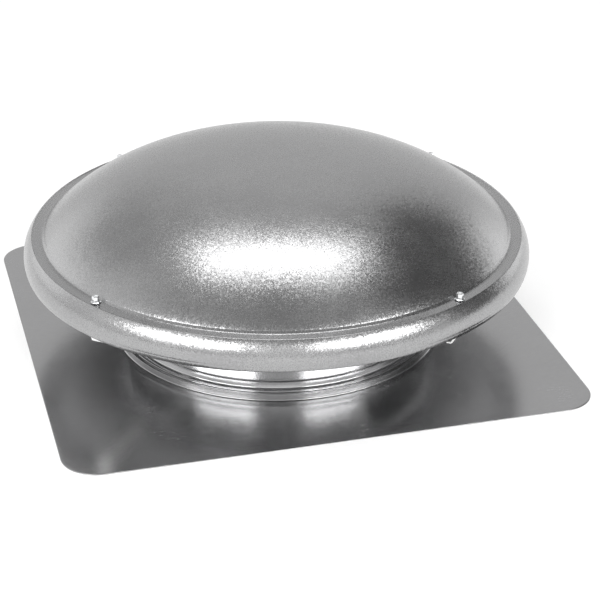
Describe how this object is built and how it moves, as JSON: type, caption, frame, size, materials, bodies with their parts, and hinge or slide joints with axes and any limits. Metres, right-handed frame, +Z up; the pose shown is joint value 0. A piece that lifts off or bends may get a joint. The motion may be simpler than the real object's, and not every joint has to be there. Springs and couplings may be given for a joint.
{
  "type": "exhaust hood fan",
  "caption": "Roof-mount power exhaust fan: low spun dome hood with a rolled rim, held on strap legs over a short throat and flashing plate, with a direct-drive axial fan inside.",
  "frame": {"origin": "centre of the flashing plate's underside, on the fan's axis", "axes": "+Z up along the fan's axis, +X along the flashing's longer side, -Y towards the front"},
  "size_m": [0.61, 0.6046, 0.2148],
  "materials": {
    "galvanised_steel": "mill galvanised sheet, smooth and softly mirror-like, with a fine spangle grain",
    "white_painted_steel": "white baked enamel",
    "zinc_plated_steel": "bright zinc plate",
    "black_painted_steel": "semi-gloss black enamel",
    "lamination_steel": "stacked laminations, dull varnish",
    "copper_winding": "varnished copper wire",
    "bare_aluminium": "mill-finish aluminium sheet",
    "black_rubber": "matt black rubber",
    "grey_plastic": "moulded grey plastic",
    "black_plastic": "moulded black plastic",
    "cable_jacket": "black cable jacket"
  },
  "bodies": {
    "housing": {"base_flashing": "galvanised_steel", "throat_collar": "galvanised_steel", "hood_dome": "galvanised_steel", "bird_screen": "galvanised_steel", "motor_bracket": "galvanised_steel", "control_box": "galvanised_steel", "control_box_cover": "galvanised_steel", "capacitor_clamp": "galvanised_steel", "hood_leg_1": "white_painted_steel", "hood_leg_2": "white_painted_steel", "hood_leg_3": "white_painted_steel", "hood_leg_4": "white_painted_steel", "dome_screw_1": "zinc_plated_steel", "dome_screw_2": "zinc_plated_steel", "dome_screw_3": "zinc_plated_steel", "dome_screw_4": "zinc_plated_steel", "lip_rivet_1": "zinc_plated_steel", "lip_rivet_2": "zinc_plated_steel", "lip_rivet_3": "zinc_plated_steel", "lip_rivet_4": "zinc_plated_steel", "motor_bolt_1": "zinc_plated_steel", "motor_bolt_2": "zinc_plated_steel", "motor_bolt_3": "zinc_plated_steel", "motor_bolt_4": "zinc_plated_steel", "motor_nut_1": "zinc_plated_steel", "motor_nut_2": "zinc_plated_steel", "motor_nut_3": "zinc_plated_steel", "motor_nut_4": "zinc_plated_steel", "bearing_lower": "zinc_plated_steel", "bearing_upper": "zinc_plated_steel", "cover_screw_1": "zinc_plated_steel", "cover_screw_2": "zinc_plated_steel", "motor_end_bell_lower": "black_painted_steel", "motor_shell": "black_painted_steel", "motor_end_bell_upper": "black_painted_steel", "stator_core": "lamination_steel", "stator_winding_lower": "copper_winding", "stator_winding_upper": "copper_winding", "capacitor": "bare_aluminium", "motor_grommet_1": "black_rubber", "motor_grommet_2": "black_rubber", "motor_grommet_3": "black_rubber", "motor_grommet_4": "black_rubber", "motor_lead_bushing": "black_rubber", "box_lead_bushing": "black_rubber", "thermostat_body": "black_plastic", "motor_lead": "cable_jacket"},
    "rotor": {"motor_shaft": "zinc_plated_steel", "rotor_core": "lamination_steel", "fan_hub": "bare_aluminium", "hub_set_screw": "zinc_plated_steel", "fan_spider": "galvanised_steel", "fan_wing_1": "bare_aluminium", "fan_wing_2": "bare_aluminium", "fan_wing_3": "bare_aluminium", "fan_wing_4": "bare_aluminium"},
    "dial": {"thermostat_dial": "grey_plastic"}
  },
  "joints": [
    {"name": "fan_spin", "type": "hinge", "parent": "housing", "child": "rotor", "pos_m": [0, 0, 0.046], "axis": [0, 0, 1], "continuous": true},
    {"name": "thermostat_dial_turn", "type": "hinge", "parent": "housing", "child": "dial", "pos_m": [0.12663, 0.0496, 0.128], "axis": [0, 0, 1], "range_deg": [0, 270]}
  ]
}
